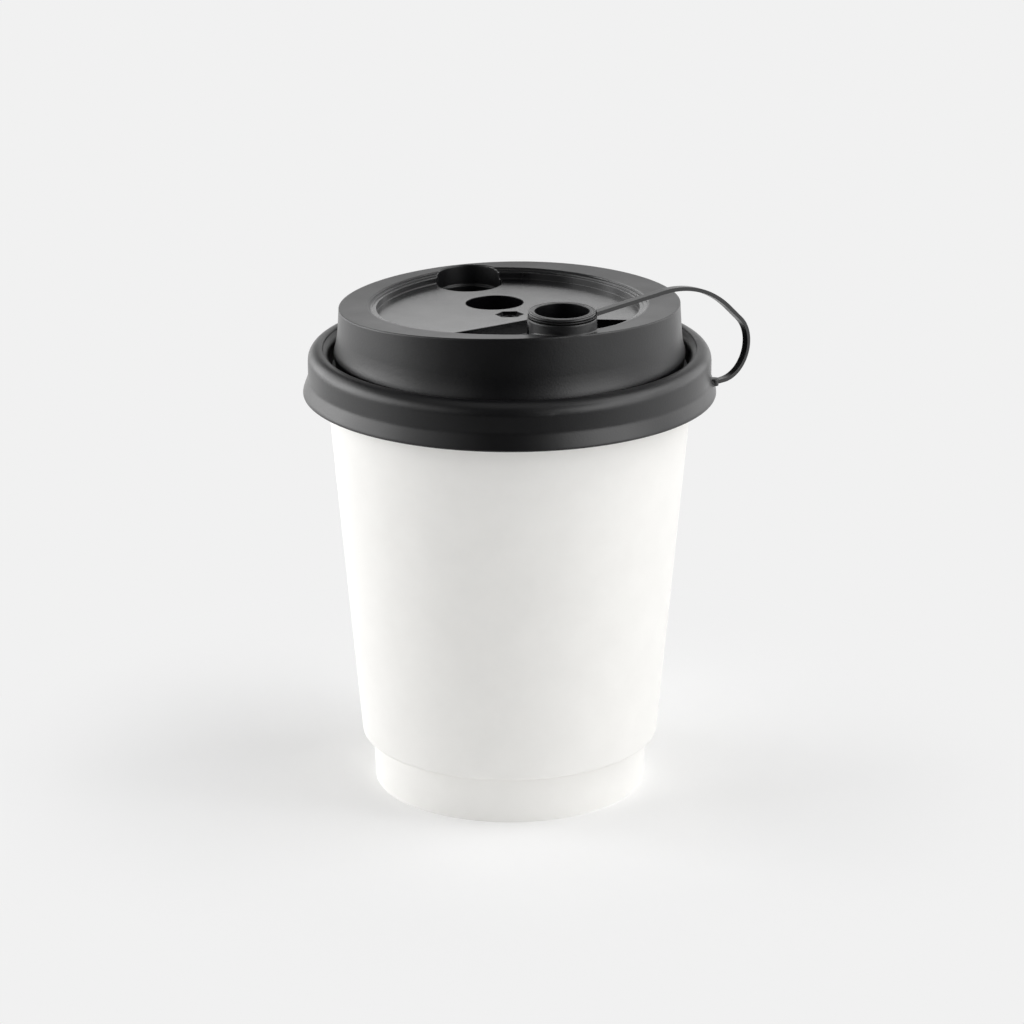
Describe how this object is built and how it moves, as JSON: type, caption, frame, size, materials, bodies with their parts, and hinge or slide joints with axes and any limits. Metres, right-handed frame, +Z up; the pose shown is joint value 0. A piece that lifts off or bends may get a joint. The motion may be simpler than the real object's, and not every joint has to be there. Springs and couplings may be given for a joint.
{
  "type": "paper coffee cup with lid",
  "caption": "White double-wall paper cup with a black press-on plastic lid, a raised drinking spout and a plug on a tether.",
  "frame": {"origin": "middle of the foot ring, on the surface that the cup stands on", "axes": "+Z up along the cup's axis, -Y towards the viewer, +X to the viewer's right where the tether loops"},
  "size_m": [0.0911, 0.084, 0.1081],
  "materials": {
    "cup_board": "satin",
    "floor_board": "satin",
    "sleeve_board": "matte",
    "lid_plastic": "satin"
  },
  "bodies": {
    "cup": {"cup_wall": "cup_board", "cup_floor": "floor_board", "outer_sleeve": "sleeve_board"},
    "lid": {"lid": "lid_plastic", "tether": "lid_plastic"},
    "plug": {"plug": "lid_plastic"}
  },
  "joints": [
    {"name": "lid_lift", "type": "slide", "parent": "cup", "child": "lid", "axis": [0, 0, 1], "range_m": [0, 0.04]},
    {"name": "plug_pull", "type": "slide", "parent": "lid", "child": "plug", "axis": [0, 0, 1], "range_m": [0, 0.012], "deforming": ["tether"]}
  ]
}
